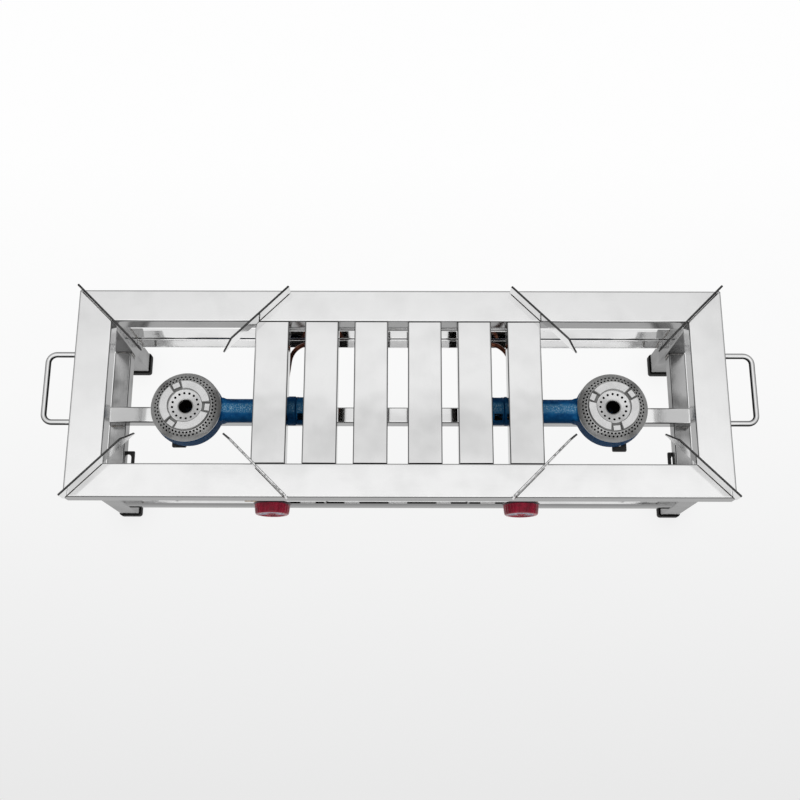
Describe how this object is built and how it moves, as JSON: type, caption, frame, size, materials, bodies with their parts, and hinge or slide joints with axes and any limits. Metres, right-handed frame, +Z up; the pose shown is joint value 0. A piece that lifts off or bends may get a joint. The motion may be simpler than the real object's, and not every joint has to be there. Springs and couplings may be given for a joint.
{
  "type": "two burner gas stove with stand",
  "caption": "Low steel stand with slats between two open wells, a cast gas burner in each, pot supports, taps with knobs and carry handles.",
  "frame": {"origin": "middle of the stove's own box, on the floor", "axes": "+X along the stove to the right as seen from the taps, +Y from the taps to the back, +Z up"},
  "size_m": [1.002, 0.3046, 0.2805],
  "materials": {
    "stainless_steel": "satin stainless steel tube",
    "rubber_feet": "matt black moulded rubber",
    "blue_casting": "blue stove enamel over rough sand casting",
    "burner_cap_metal": "cast and bead-blasted, bare grey",
    "black_steel": "black painted flat steel",
    "copper_pipe": "dull drawn copper",
    "brass": "turned brass",
    "red_plastic": "dark red moulded plastic, glossy",
    "plated_steel": "zinc plated"
  },
  "bodies": {
    "stand": {"top_rail_front": "stainless_steel", "top_rail_back": "stainless_steel", "top_rail_left": "stainless_steel", "top_rail_right": "stainless_steel", "slat_1": "stainless_steel", "slat_2": "stainless_steel", "slat_3": "stainless_steel", "slat_4": "stainless_steel", "slat_5": "stainless_steel", "slat_6": "stainless_steel", "slat_ledges": "stainless_steel", "support_left_outer_back": "stainless_steel", "support_left_inner_back": "stainless_steel", "support_left_outer_front": "stainless_steel", "support_left_inner_front": "stainless_steel", "support_right_outer_back": "stainless_steel", "support_right_inner_back": "stainless_steel", "support_right_outer_front": "stainless_steel", "support_right_inner_front": "stainless_steel", "leg_front_left": "stainless_steel", "leg_front_right": "stainless_steel", "leg_back_left": "stainless_steel", "leg_back_right": "stainless_steel", "foot_front_left": "rubber_feet", "foot_front_right": "rubber_feet", "foot_back_left": "rubber_feet", "foot_back_right": "rubber_feet", "lower_rail_front": "stainless_steel", "lower_rail_back": "stainless_steel", "lower_rail_left": "stainless_steel", "lower_rail_right": "stainless_steel", "burner_bar": "stainless_steel", "burner_strap_left": "black_steel", "burner_strap_right": "black_steel", "burner_bolts": "plated_steel", "burner_body_left": "blue_casting", "burner_body_right": "blue_casting", "injector_left": "brass", "injector_right": "brass", "gas_pipe_left": "copper_pipe", "gas_pipe_right": "copper_pipe", "pipe_nuts": "brass", "manifold": "stainless_steel", "manifold_brackets": "stainless_steel", "manifold_plug": "brass", "hose_nozzle": "brass", "valve_body_left": "brass", "valve_body_right": "brass", "carry_handle_left": "stainless_steel", "carry_handle_right": "stainless_steel", "slotted_bracket_left": "black_steel", "slotted_bracket_right": "black_steel"},
    "knob_left": {"knob_left": "red_plastic", "valve_spindle_left": "plated_steel"},
    "cap_left": {"burner_cap_left": "burner_cap_metal"},
    "shutter_left": {"air_shutter_left": "blue_casting"},
    "knob_right": {"knob_right": "red_plastic", "valve_spindle_right": "plated_steel"},
    "cap_right": {"burner_cap_right": "burner_cap_metal"},
    "shutter_right": {"air_shutter_right": "blue_casting"}
  },
  "joints": [
    {"name": "tap_left_turn", "type": "hinge", "parent": "stand", "child": "knob_left", "pos_m": [-0.1855, -0.13528, 0.143], "axis": [0, -1, 0], "range_deg": [0, 90]},
    {"name": "cap_left_lift", "type": "slide", "parent": "stand", "child": "cap_left", "axis": [0, 0, 1], "range_m": [0, 0.04]},
    {"name": "shutter_left_turn", "type": "hinge", "parent": "stand", "child": "shutter_left", "pos_m": [-0.14, -0.00128, 0.162], "axis": [-1, 0, 0], "range_deg": [0, 60]},
    {"name": "tap_right_turn", "type": "hinge", "parent": "stand", "child": "knob_right", "pos_m": [0.1765, -0.13528, 0.143], "axis": [0, -1, 0], "range_deg": [0, 90]},
    {"name": "cap_right_lift", "type": "slide", "parent": "stand", "child": "cap_right", "axis": [0, 0, 1], "range_m": [0, 0.04]},
    {"name": "shutter_right_turn", "type": "hinge", "parent": "stand", "child": "shutter_right", "pos_m": [0.14, -0.00128, 0.162], "axis": [1, 0, 0], "range_deg": [0, 60]}
  ]
}
